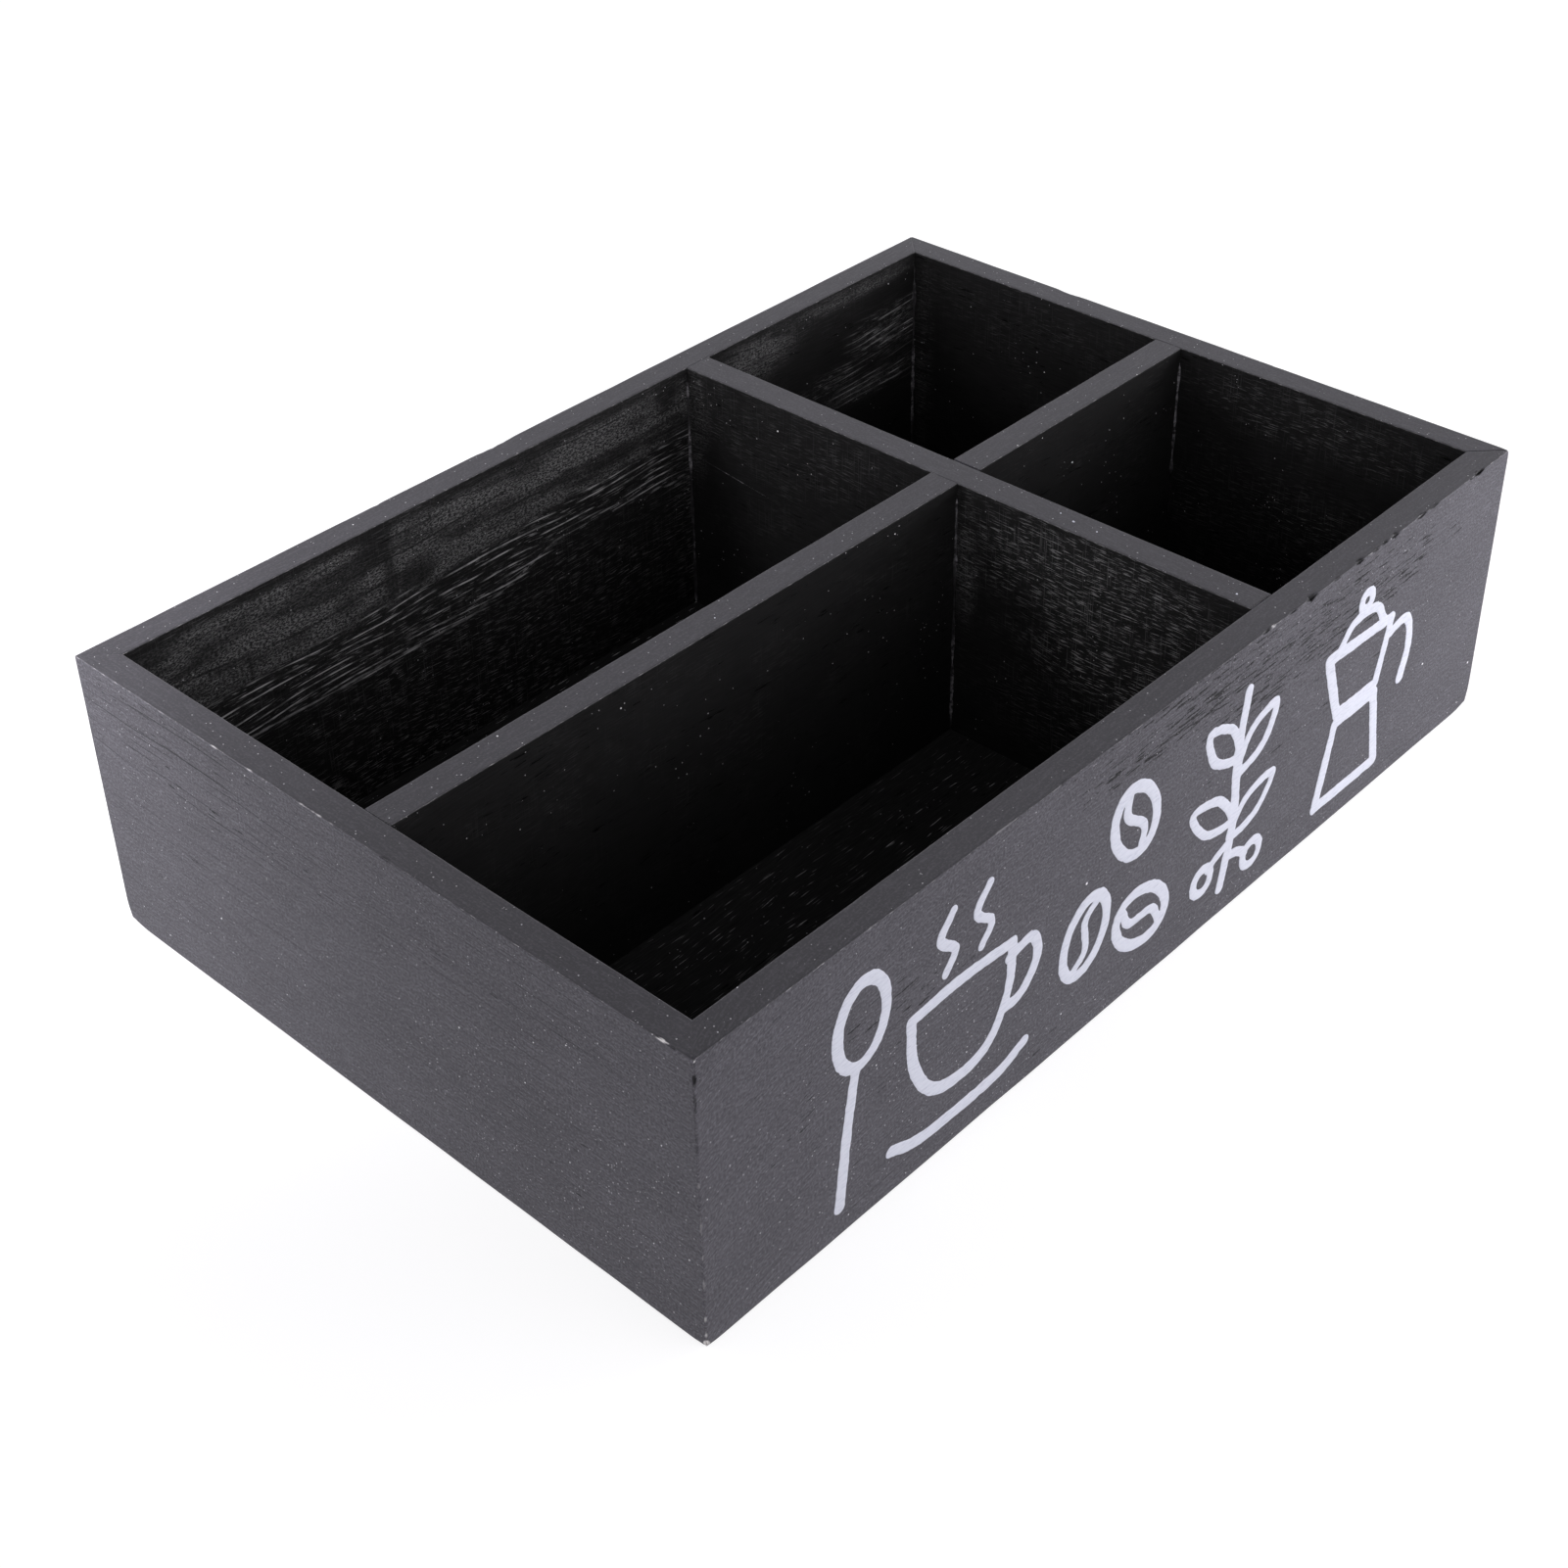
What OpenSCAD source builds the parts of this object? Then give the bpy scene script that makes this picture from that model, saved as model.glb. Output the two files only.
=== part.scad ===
// Four-compartment organizer: an open box of stained boards with mitred corners, one divider across
// it, two dividers along it, and a thin base panel let into the walls.
// The origin is the middle of the underside. +X runs to the right along the front, +Y to the back.

/* [Box] */
// Outside length, along the front
box_l = 300; // [240:1:400]
// Outside depth, from front to back
box_w = 200; // [170:1:280]
// Outside height
box_h = 80; // [60:1:120]

/* [Boards] */
// Thickness of the walls
wall_t = 8; // [7:0.1:12]
// Thickness of the dividers
divider_t = 8.7; // [7:0.1:12]
// Radius of the eased edges at the rim and the upright corners
ease_r = 0.4; // [0.2:0.1:1]
// Radius of the walls' outer edge at the bottom
foot_r = 1.2; // [0.4:0.1:2.5]

/* [Compartments] */
// Clear length of the two small compartments, at the right
small_l = 89; // [50:0.1:120]
// Clear depth of the two front compartments
front_w = 87.9; // [50:0.1:105]
// Open seam between the short divider and the cross divider
seam_gap = 0.6; // [0.2:0.1:0.9]

/* [Base panel] */
// Thickness of the base panel
panel_t = 3; // [2:0.1:5]
// Width of the rebate in the walls that the panel's edges lie in
rebate_w = 4; // [3.5:0.1:5]
// Gap round the panel in the rebate
panel_gap = 0.2; // [0.1:0.1:0.5]

/* [Pins] */
// Diameter of the headless pins through the joints of the boards
pin_d = 0.8; // [0.6:0.1:1.2]
// Length of the pins
pin_l = 20; // [14:1:25]
// Wood left over the sunk end of a pin
pin_cover = 0.5; // [0.3:0.1:1]
// Height of the lowest pin over the underside, and of the highest pin under the rim
pin_inset = 15; // [14:1:20]
// Number of pins in each joint
pin_count = 3; // [2:1:4]

/* [Brads] */
// Diameter of the brads that hold the base panel
brad_d = 1.2; // [0.8:0.1:1.6]
// Length of the brads
brad_l = 12; // [8:1:13]
// Diameter of a brad's head
brad_head_d = 2.2; // [1.8:0.1:2.6]
// Thickness of a brad's head
brad_head_t = 0.5; // [0.3:0.1:0.8]
// Depth of the heads in the underside
brad_sink = 0.1; // [0.05:0.05:0.3]
// Greatest distance between brads
brad_pitch = 65; // [40:1:100]
// Gap round pins and brads in their holes
hole_gap = 0.02; // [0.01:0.01:0.05]

/* [Hidden] */

stain = [0.28, 0.28, 0.29];
panel_stain = [0.16, 0.16, 0.17];
steel = "silver";

// How far cutters run past what they cut
over = 1;

// The walls' inner faces
in_x = box_l / 2 - wall_t;
in_y = box_w / 2 - wall_t;

// The cross divider's faces and middle
cross_right = in_x - small_l;
cross_left = cross_right - divider_t;
cross_x = cross_right - divider_t / 2;

// The middle of the long and the short divider, which are in line
long_y = front_w - in_y + divider_t / 2;

// The base panel's edges
panel_x = in_x + rebate_w - panel_gap;
panel_y = in_y + rebate_w - panel_gap;

// Where the sunk ends of the pins lie, and the middle of the front and back walls' thickness
pin_x = box_l / 2 - pin_cover;
pin_y = box_w / 2 - pin_cover;
corner_y = (box_w - wall_t) / 2;
pin_step = (box_h - 2 * pin_inset) / (pin_count - 1);

// Each joint's pins, as [x and y of the sunk ends, turn about Z from +X]
front_left_joint = [-pin_x, -corner_y, 0];
front_right_joint = [pin_x, -corner_y, 180];
back_left_joint = [-pin_x, corner_y, 0];
back_right_joint = [pin_x, corner_y, 180];
front_cross_joint = [cross_x, -pin_y, 90];
back_cross_joint = [cross_x, pin_y, -90];
left_long_joint = [-pin_x, long_y, 0];
right_short_joint = [pin_x, long_y, 180];
cross_long_joint = [cross_right - pin_cover, long_y, 180];

// Brads stand evenly between two points, at most brad_pitch apart
function brad_points(a, b) =
    let (n = ceil(norm(b - a) / brad_pitch))
    [for (i = [0 : n - 1]) a + (i + 0.5) / n * (b - a)];

// Those into the walls go through the middle of the rebate
rebate_x = in_x + rebate_w / 2;
rebate_y = in_y + rebate_w / 2;
front_brads = brad_points([-in_x, -rebate_y], [in_x, -rebate_y]);
back_brads = brad_points([-in_x, rebate_y], [in_x, rebate_y]);
left_brads = brad_points([-rebate_x, -in_y], [-rebate_x, in_y]);
right_brads = brad_points([rebate_x, -in_y], [rebate_x, in_y]);
cross_brads = brad_points([cross_x, -in_y], [cross_x, in_y]);
long_brads = brad_points([-in_x, long_y], [cross_left, long_y]);
short_brads = brad_points([cross_right + seam_gap, long_y], [in_x, long_y]);

// What rounding takes off a sheet that has its corner at the origin and lies in x > 0, y > 0
module corner_waste(r) {
    difference() {
        translate([-over, -over]) square(r + over);
        translate([r, r]) circle(r, $fn = 64);
    }
}

// A wall's section: x from the outer face inwards, y up
module wall_section() {
    difference() {
        square([wall_t, box_h]);
        translate([wall_t - rebate_w, -over]) square([rebate_w + over, panel_t + over]);
        corner_waste(foot_r);
        translate([0, box_h]) rotate(-90) corner_waste(ease_r);
        translate([wall_t, box_h]) rotate(180) corner_waste(ease_r);
    }
}

// A divider's section: x across its thickness, y up
module divider_section() {
    difference() {
        translate([-divider_t / 2, panel_t]) square([divider_t, box_h - panel_t]);
        translate([-divider_t / 2, box_h]) rotate(-90) corner_waste(ease_r);
        translate([divider_t / 2, box_h]) rotate(180) corner_waste(ease_r);
    }
}

// Half of a wall's plan: its mitred end, with the upright corner eased
function mitre_end(half_l) = [
    [half_l - ease_r, 0], [half_l - ease_r / 2, ease_r / 2], [half_l - wall_t, wall_t]
];

// A wall of outside length l along X, its outer face on the XZ plane and its thickness to +Y
module mitred_wall(l) {
    right_end = mitre_end(l / 2);
    left_end = [for (i = [2 : -1 : 0]) [-right_end[i].x, right_end[i].y]];
    intersection() {
        translate([-l / 2, 0, 0]) rotate([90, 0, 90]) linear_extrude(l) wall_section();
        translate([0, 0, -over]) linear_extrude(box_h + 2 * over) polygon(concat(right_end, left_end));
    }
}

// A divider of length l from the origin along X, its middle on the XZ plane
module divider(l) {
    rotate([90, 0, 90]) linear_extrude(l) divider_section();
}

// The pins of one joint, one above the other. A gap makes their holes
module pins(joint, gap = 0) {
    for (i = [0 : pin_count - 1])
        translate([joint.x, joint.y, pin_inset + i * pin_step])
            rotate([0, 90, joint.z])
                cylinder(d = pin_d + 2 * gap, h = pin_l, $fn = 32);
}

// Brads pointing up
module brads(points) {
    for (p = points)
        translate([p.x, p.y, brad_sink]) {
            cylinder(d = brad_head_d, h = brad_head_t, $fn = 32);
            cylinder(d = brad_d, h = brad_l, $fn = 32);
        }
}

// The brads' holes, open below
module brad_holes(points) {
    for (p = points)
        translate([p.x, p.y, -over]) {
            cylinder(d = brad_head_d + 2 * hole_gap, h = over + brad_sink + brad_head_t, $fn = 32);
            cylinder(d = brad_d + 2 * hole_gap, h = over + brad_sink + brad_l, $fn = 32);
        }
}

module front_wall() {
    color(stain) difference() {
        translate([0, -box_w / 2, 0]) mitred_wall(box_l);
        pins(front_left_joint, hole_gap);
        pins(front_right_joint, hole_gap);
        pins(front_cross_joint, hole_gap);
        brad_holes(front_brads);
    }
}

module back_wall() {
    color(stain) difference() {
        translate([0, box_w / 2, 0]) rotate(180) mitred_wall(box_l);
        pins(back_left_joint, hole_gap);
        pins(back_right_joint, hole_gap);
        pins(back_cross_joint, hole_gap);
        brad_holes(back_brads);
    }
}

module left_end_wall() {
    color(stain) difference() {
        translate([-box_l / 2, 0, 0]) rotate(-90) mitred_wall(box_w);
        pins(front_left_joint, hole_gap);
        pins(back_left_joint, hole_gap);
        pins(left_long_joint, hole_gap);
        brad_holes(left_brads);
    }
}

module right_end_wall() {
    color(stain) difference() {
        translate([box_l / 2, 0, 0]) rotate(90) mitred_wall(box_w);
        pins(front_right_joint, hole_gap);
        pins(back_right_joint, hole_gap);
        pins(right_short_joint, hole_gap);
        brad_holes(right_brads);
    }
}

module cross_divider() {
    color(stain) difference() {
        translate([cross_x, -in_y, 0]) rotate(90) divider(2 * in_y);
        pins(front_cross_joint, hole_gap);
        pins(back_cross_joint, hole_gap);
        pins(cross_long_joint, hole_gap);
        brad_holes(cross_brads);
    }
}

module long_divider() {
    color(stain) difference() {
        translate([-in_x, long_y, 0]) divider(cross_left + in_x);
        pins(left_long_joint, hole_gap);
        pins(cross_long_joint, hole_gap);
        brad_holes(long_brads);
    }
}

module short_divider() {
    color(stain) difference() {
        translate([cross_right + seam_gap, long_y, 0]) divider(small_l - seam_gap);
        pins(right_short_joint, hole_gap);
        brad_holes(short_brads);
    }
}

module base_panel() {
    color(panel_stain) difference() {
        translate([-panel_x, -panel_y, 0]) cube([2 * panel_x, 2 * panel_y, panel_t]);
        brad_holes(concat(front_brads, back_brads, left_brads, right_brads));
        brad_holes(concat(cross_brads, long_brads, short_brads));
    }
}

module front_left_corner_pins() { color(steel) pins(front_left_joint); }
module front_right_corner_pins() { color(steel) pins(front_right_joint); }
module back_left_corner_pins() { color(steel) pins(back_left_joint); }
module back_right_corner_pins() { color(steel) pins(back_right_joint); }
module front_wall_to_cross_pins() { color(steel) pins(front_cross_joint); }
module back_wall_to_cross_pins() { color(steel) pins(back_cross_joint); }
module left_end_to_long_pins() { color(steel) pins(left_long_joint); }
module right_end_to_short_pins() { color(steel) pins(right_short_joint); }
module cross_to_long_pins() { color(steel) pins(cross_long_joint); }

module front_wall_brads() { color(steel) brads(front_brads); }
module back_wall_brads() { color(steel) brads(back_brads); }
module left_end_brads() { color(steel) brads(left_brads); }
module right_end_brads() { color(steel) brads(right_brads); }
module cross_divider_brads() { color(steel) brads(cross_brads); }
module long_divider_brads() { color(steel) brads(long_brads); }
module short_divider_brads() { color(steel) brads(short_brads); }

front_wall();
back_wall();
left_end_wall();
right_end_wall();
cross_divider();
long_divider();
short_divider();
base_panel();
front_left_corner_pins();
front_right_corner_pins();
back_left_corner_pins();
back_right_corner_pins();
front_wall_to_cross_pins();
back_wall_to_cross_pins();
left_end_to_long_pins();
right_end_to_short_pins();
cross_to_long_pins();
front_wall_brads();
back_wall_brads();
left_end_brads();
right_end_brads();
cross_divider_brads();
long_divider_brads();
short_divider_brads();
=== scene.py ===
"""Looks of the four-compartment organizer: stained boards with painted sheen and glints, worn edges with a
painted highlight, glue beads in the corners and a hand-painted frieze of kitchen things on the front. Lengths are
in metres, MM is a millimetre."""

import math

import bmesh
import bpy
import numpy as np
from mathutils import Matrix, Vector


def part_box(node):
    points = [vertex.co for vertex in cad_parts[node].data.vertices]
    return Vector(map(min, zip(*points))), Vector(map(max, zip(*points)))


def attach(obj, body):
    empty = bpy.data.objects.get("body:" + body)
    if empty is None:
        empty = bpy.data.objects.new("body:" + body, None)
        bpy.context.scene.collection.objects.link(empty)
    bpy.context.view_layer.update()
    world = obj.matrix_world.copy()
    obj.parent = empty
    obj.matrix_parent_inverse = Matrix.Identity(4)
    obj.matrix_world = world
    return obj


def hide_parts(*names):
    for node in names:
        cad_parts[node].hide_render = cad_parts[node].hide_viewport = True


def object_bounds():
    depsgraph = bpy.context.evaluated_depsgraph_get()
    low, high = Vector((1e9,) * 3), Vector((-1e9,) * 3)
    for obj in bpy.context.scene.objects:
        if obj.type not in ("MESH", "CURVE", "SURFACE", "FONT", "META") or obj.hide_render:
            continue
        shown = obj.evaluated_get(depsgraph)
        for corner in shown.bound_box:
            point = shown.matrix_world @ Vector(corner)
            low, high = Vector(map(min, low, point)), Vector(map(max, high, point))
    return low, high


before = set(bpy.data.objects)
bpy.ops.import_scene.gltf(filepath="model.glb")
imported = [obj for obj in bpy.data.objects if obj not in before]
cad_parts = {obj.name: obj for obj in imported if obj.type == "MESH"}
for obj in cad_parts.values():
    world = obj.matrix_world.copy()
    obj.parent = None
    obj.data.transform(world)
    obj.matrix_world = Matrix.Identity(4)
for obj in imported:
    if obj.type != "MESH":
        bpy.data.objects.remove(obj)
cad_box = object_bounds()

MM = 0.001
BODY = "root"

# Places that the frame gives
box_low, box_high = (np.array(corner) for corner in cad_box)
front_wall, left_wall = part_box("front_wall"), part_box("left_end_wall")
cross, long_div, short_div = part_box("cross_divider"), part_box("long_divider"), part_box("short_divider")
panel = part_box("base_panel")
HEIGHT = box_high[2]
WALL = front_wall[1].y - front_wall[0].y
PANEL_TOP = panel[1].z
INNER_X = box_high[0] - WALL
INNER_Y = box_high[1] - WALL
REBATE = panel[1].x - INNER_X

# Edges of the boards
EASE = 0.4 * MM
FOOT = 1.2 * MM
MITRE_GROOVE = 0.12 * MM

# How steeply the front wall's grain rises at its left end, and how far that reaches
SWEEP = 0.45
SWEEP_REACH = 35 * MM

# Mesh sizes: closest points lie at the edges
FINE = 0.12 * MM
COARSE = 1.0 * MM

# The frieze: widths of its strokes and its grid in millimetres, thickness of the paint, and how far
# it reaches into the wood
STROKE = 3.3
FINE_STROKE = 2.6
PAINT_GRID = 0.3
PAINT = 0.12 * MM
PAINT_ROOT = 0.15 * MM

# Glue beads: width, distance of their tops from the rim, and how far they reach into the boards
BEAD = 0.55 * MM
BEAD_TOP = 2 * MM
SUNK = 0.05 * MM

# Drops of paint on the dividers' tops, in millimetres
PAINT_DROPS = [(49.8, -32.6), (48.6, -37.4), (48.5, -44.6), (47.5, -85.9), (-40.8, -0.6)]

# Cool daylight
LIGHT_TINT = (1.0, 0.985, 1.05)

# Half the floor's width
FLOOR = 6.0

# Which finish each side of a board has
OUTER, RIM, INNER = range(3)

# Corners rounded by knocks, in millimetres: place, reach, and what the wear adds to the radius
WORN_CORNERS = [
    ((-150, -100, 0), 2.5, 0.6),
    ((-150, 100, 0), 4.0, 1.5),
    ((150, -100, 0), 4.0, 1.4),
    ((150, 100, 0), 4.5, 1.8),
    ((-150, -100, 80), 1.5, 0.3),
    ((150, -100, 80), 1.5, 0.3),
]

# Chips in the edges, in millimetres: place, reach along the edge, depth, and how pale the wood is,
# from -1 where the stain fills it black to 1 where it is bare
CHIPS = [
    ((-150, -100, 1.0), 1.2, 1.6, 1.0),
    ((-150, -91.6, 80), 0.65, 0.7, 1.0),
    ((-150, -92.4, 80), 0.35, 0.9, 1.0),
    ((-150, -89.4, 80), 0.35, 0.4, 0.9),
    ((-150, -87.6, 80), 0.3, 0.3, 0.7),
    ((-150, -94.5, 80), 1.0, 0.35, -0.6),
    ((-150, 15.5, 80), 2.2, 0.21, 0.9),
    ((-150, 10.5, 80), 2.6, 0.2, 0.8),
    ((-150, 6, 80), 1.2, 0.19, 0.6),
    ((-150, 34, 80), 2.0, 0.19, 0.7),
    ((-150, 46, 80), 1.6, 0.2, 0.6),
    ((-150, -12, 80), 2.0, 0.4, -0.5),
    ((-150, -100, 75), 1.4, 0.5, -0.8),
    ((-149.6, -100, 79.6), 0.4, 0.5, 0.9),
    ((-150, -100, 69), 3.5, 0.3, -0.5),
    ((-150, -100, 58), 5.0, 0.28, -0.35),
    ((-150, -100, 47), 1.0, 0.3, 0.2),
    ((-150, -100, 36), 2.5, 0.28, 0.15),
    ((-150, -100, 27), 1.0, 0.32, 0.3),
    ((-150, -100, 19), 2.0, 0.28, 0.2),
    ((-150, -100, 9), 0.8, 0.38, 0.5),
    ((-150, -100, 4.5), 0.6, 0.5, 0.6),
    ((135, -100, 80), 1.9, 0.8, -1.0),
    ((131, -100, 80), 0.7, 0.45, -1.0),
    ((113, -100, 80), 2.5, 0.35, -0.8),
    ((107, -100, 80), 2.0, 0.55, -1.0),
    ((95, -100, 80), 1.6, 0.75, -1.0),
    ((90.5, -100, 80), 1.4, 0.5, -1.0),
    ((86, -100, 80), 1.8, 0.4, -0.9),
    ((79, -100, 80), 1.5, 0.65, -1.0),
    ((69, -100, 80), 1.6, 0.35, -0.8),
    ((58, -100, 80), 1.8, 0.8, -1.0),
    ((50, -100, 80), 1.5, 0.4, -0.8),
    ((42, -100, 80), 1.0, 0.55, 0.6),
    ((39, -100, 80), 1.4, 0.45, -0.9),
    ((12, -100, 80), 2.5, 0.3, -0.6),
    ((-14, -100, 80), 1.2, 0.3, -0.6),
    ((-38, -100, 80), 1.0, 0.45, -0.5),
    ((-58, -100, 80), 5.0, 0.3, 0.1),
    ((-100, -100, 80), 1.2, 0.25, 0.2),
    ((-20, 100, 80), 7.0, 0.5, 0.0),
    ((150, 40, 80), 5.0, 0.35, 0.1),
    ((150, -30, 80), 1.2, 0.4, 0.2),
    ((-60, 100, 80), 1.5, 0.35, 0.2),
    ((60, -100, 0), 4.0, 0.35, 0.0),
    ((-150, 30, 0), 4.0, 0.35, 0.1),
]

# The back wall's bands of painted sheen and glints in millimetres: x, and the heights where the painted sheen and
# the painted glints end there
BAND_X = (-142, -60, -42, -25, -8, 15, 44, 53, 142)
PAINTED_SHEEN_END = (54, 56, 57, 58, 60, 59, 62, 64, 62)
PAINTED_GLINTS_END = (39, 38.5, 38.5, 42, 48, 48.5, 45, 40, 40)

# Dark blots in the back wall's painted sheen over dry, patchy stain, in millimetres: x and z, reach, depth
BLOTS = [
    ((-67.5, 76), (6, 6.5), 1.0),
    ((-64, 64), (2, 9), 0.8),
    ((-55, 61), (6, 5), 0.7),
    ((-78, 62), (5, 3), 0.6),
    ((-94, 60), (4, 2.5), 0.5),
    ((-92, 76), (3, 4), 0.45),
    ((-108.6, 58.5), (0.7, 4), 0.9),
    ((-16, 74), (6, 3.5), 0.5),
    ((-27, 68), (10, 2), 0.4),
    ((36, 75), (4.5, 6), 0.95),
    ((15, 64), (9, 2), 0.5),
    ((20, 58), (8, 3), 0.5),
    ((-134, 77), (9, 4), 0.8),
    ((-120, 68), (8, 1.2), 0.6),
]

# Zones on the inner faces in millimetres: middle, reach, sheen (painted sheen over dry, patchy stain), glints
# (painted glints along the grain) and hatching. On the outer faces the amounts are pores, long dark lines and
# specks of dust.
ZONES = {
    "back_wall_board": [
        ((44, 92, 30), (14, 4, 30), (0.0, 0.0, 0.45)),
        ((-60, 92, 8), (80, 4, 9), (0.0, 0.0, 0.7)),
        ((-30, 92, 25), (90, 4, 25), (0.0, 0.0, 0.45)),
        ((72, 92, 72), (17, 4, 7), (0.75, 0.0, 0.4)),
        ((110, 92, 77), (34, 4, 2.5), (0.6, 0.0, 0.2)),
        ((130, 92, 59), (16, 4, 8), (0.1, 0.9, 0.5)),
        ((105, 92, 51), (12, 4, 4), (0.0, 0.7, 0.4)),
        ((122, 92, 44), (24, 4, 4), (0.25, 0.8, 0.3)),
    ],
    "cross_divider_board": [
        ((44, 60, 70), (4, 55, 15), (0.015, 0.0, 0.17)),
        ((44, 89, 66), (4, 5, 20), (0.35, 0.0, 0.35)),
        ((44, -48, 66), (4, 42, 17), (0.1, 0.0, 0.8)),
        ((44, -55, 44), (4, 30, 12), (0.04, 0.0, 0.7)),
        ((44, -8, 60), (4, 4, 20), (0.45, 0.0, 0.6)),
        ((44, -55, 25), (4, 38, 20), (0.0, 0.0, 0.35)),
    ],
    "right_end_board": [
        ((142, 88, 45), (4, 4, 40), (0.15, 0.0, 0.25)),
        ((142, 45, 71), (4, 50, 9), (0.01, 0.0, 0.12)),
        ((142, -50, 71), (4, 45, 9), (0.03, 0.0, 0.3)),
        ((142, -40, 33), (4, 40, 22), (0.0, 0.0, 0.25)),
    ],
    "front_wall_board": [
        ((15, -100, 73), (60, 4, 8), (1.0, 0.5, 0.4)),
        ((80, -100, 69), (50, 4, 12), (1.0, 0.3, 0.4)),
        ((35, -100, 61), (26, 4, 6), (0.9, 0.3, 0.4)),
        ((-85, -100, 54), (26, 4, 7), (0.8, 0.2, 0.5)),
        ((-122, -100, 44), (9, 4, 6), (0.7, 0.2, 0.6)),
        ((60, -100, 47), (75, 4, 12), (0.5, 0.2, 0.4)),
        ((0, -100, 6), (170, 4, 9), (0.2, 0.5, 0.6)),
        ((-100, -100, 30), (60, 4, 30), (0.2, 0.2, 0.8)),
    ],
    "left_end_board": [
        ((-150, 55, 66), (4, 55, 20), (0.5, 1.0, 0.25)),
        ((-150, 60, 30), (4, 50, 25), (0.3, 0.6, 0.3)),
        ((-150, -60, 25), (4, 55, 28), (0.3, 0.4, 1.1)),
        ((-150, -40, 65), (4, 50, 20), (0.3, 0.6, 0.6)),
    ],
}


def smooth_noise(points, size, seed=0):
    """Noise from -1 to 1 at each point, in patches of the given size."""
    place = np.asarray(points) / size + 17.3 * seed
    cell = np.floor(place).astype(np.int64)
    share = place - cell
    share = share * share * (3 - 2 * share)
    total = 0
    for corner in np.ndindex(2, 2, 2):
        x, y, z = (cell + corner).T
        mixed = (x * 73856093) ^ (y * 19349663) ^ (z * 83492791)
        mixed = (mixed * (mixed * mixed * 15731 + 789221) + 1376312589) & 0x7FFFFFFF
        weight = np.where(corner, share, 1 - share).prod(axis=1)
        total = total + weight * (1 - mixed / 0x3FFFFFFF)
    return total


def graded(length, fine=FINE, coarse=COARSE, growth=1.18):
    """Places from 0 to length, close together near both ends."""
    steps = [fine]
    while sum(steps) < length / 2:
        steps.append(min(steps[-1] * growth, coarse))
    half = np.concatenate([[0], np.cumsum(steps)])
    half *= length / 2 / half[-1]
    return np.concatenate([half, length - half[-2::-1]])


def outline(corners, sides):
    """A closed section through the corners: across, up, distance along it, and each step's finish."""
    across, up, run, finish = [], [], [], []
    travelled = 0
    for start, end, side in zip(corners, corners[1:] + corners[:1], sides):
        length = math.dist(start, end)
        places = graded(length) if side is not None else np.linspace(0, length, 3)
        for place in places[:-1]:
            across.append(start[0] + (end[0] - start[0]) * place / length)
            up.append(start[1] + (end[1] - start[1]) * place / length)
            run.append(travelled + place)
            finish.append(OUTER if side is None else side)
        travelled += length
    return tuple(np.array(values) for values in (across, up, run, finish))


def eased(radius, *distances):
    """Distances from the faces that meet at an edge or corner, moved onto an arc of that radius."""
    inside = [np.maximum(radius - distance, 0) for distance in distances]
    reach = np.sqrt(sum(part * part for part in inside))
    pull = 1 - radius / np.maximum(reach, radius)
    return [distance + part * pull for distance, part in zip(distances, inside)]


def corner_radius(world, radius):
    """The radius with the wear of the knocked corners added."""
    for place, reach, extra in WORN_CORNERS:
        away = np.linalg.norm(world / MM - np.array(place), axis=1) / reach
        radius = radius + extra * MM * np.exp(-away ** 2)
    return radius


def chipped(world, distances):
    """The distances from the nearest faces with the chips cut off, and how bare the wood is there."""
    bare = np.zeros(len(world))
    distances = np.stack(distances)
    order = np.argsort(distances, axis=0)
    for number, (place, reach, depth, bareness) in enumerate(CHIPS):
        away = np.linalg.norm(world / MM - np.array(place), axis=1) / reach
        near = np.flatnonzero(away < 2.5)
        if not len(near):
            continue
        rough = 1 + 0.5 * smooth_noise(world[near], 0.7 * MM, number)
        cut = 1.6 * depth * MM * np.exp(-away[near] ** 2) * rough
        pair = order[:2, near]
        short = np.maximum(cut - distances[pair, near].sum(axis=0), 0)
        for face in pair:
            distances[face, near] += short / 2
        bare[near] += (bareness - bare[near]) * np.clip(short / (0.12 * MM), 0, 1)
    return list(distances), bare


def sheen_and_glint_bands(points):
    """Painted sheen over dry, patchy stain, above bands of painted glints, above plain black where the dividers'
    shadow falls, with the wavy limits of the back wall's left compartment.
    """
    x, y, z = points.T / MM
    left = (x < cross[0].x / MM) & (y < INNER_Y / MM + 1)
    waver = smooth_noise(points, 4 * MM, 31)
    painted_sheen_end = np.interp(x, BAND_X, PAINTED_SHEEN_END) + 1.2 * waver
    painted_glints_end = np.interp(x, BAND_X, PAINTED_GLINTS_END) + 0.4 * waver
    # Painted sheen above the upper limit, painted glints between the limits, no painted light in the dividers'
    # shadow below.
    above_painted_sheen = np.clip((z - painted_sheen_end) / 2 + 0.5, 0, 1)
    above_painted_glints = np.clip((z - painted_glints_end) / 0.8 + 0.5, 0, 1)
    haze_and_painted_sheen = above_painted_sheen * np.clip((HEIGHT / MM - 1.8 - z) / 2, 0.1, 1)
    for (blot_x, blot_z), (wide, high), depth in BLOTS:
        haze_and_painted_sheen *= 1 - depth * np.exp(-(((x - blot_x) / wide) ** 2 + ((z - blot_z) / high) ** 2) ** 2)
    limit = 1 - np.abs(z - painted_glints_end - 0.7) / 1.6
    painted_glints = np.maximum(above_painted_glints * (1 - above_painted_sheen), 2 * limit)
    return np.stack([haze_and_painted_sheen, painted_glints, 0.15 * above_painted_glints], axis=1) * left[:, None]


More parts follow.
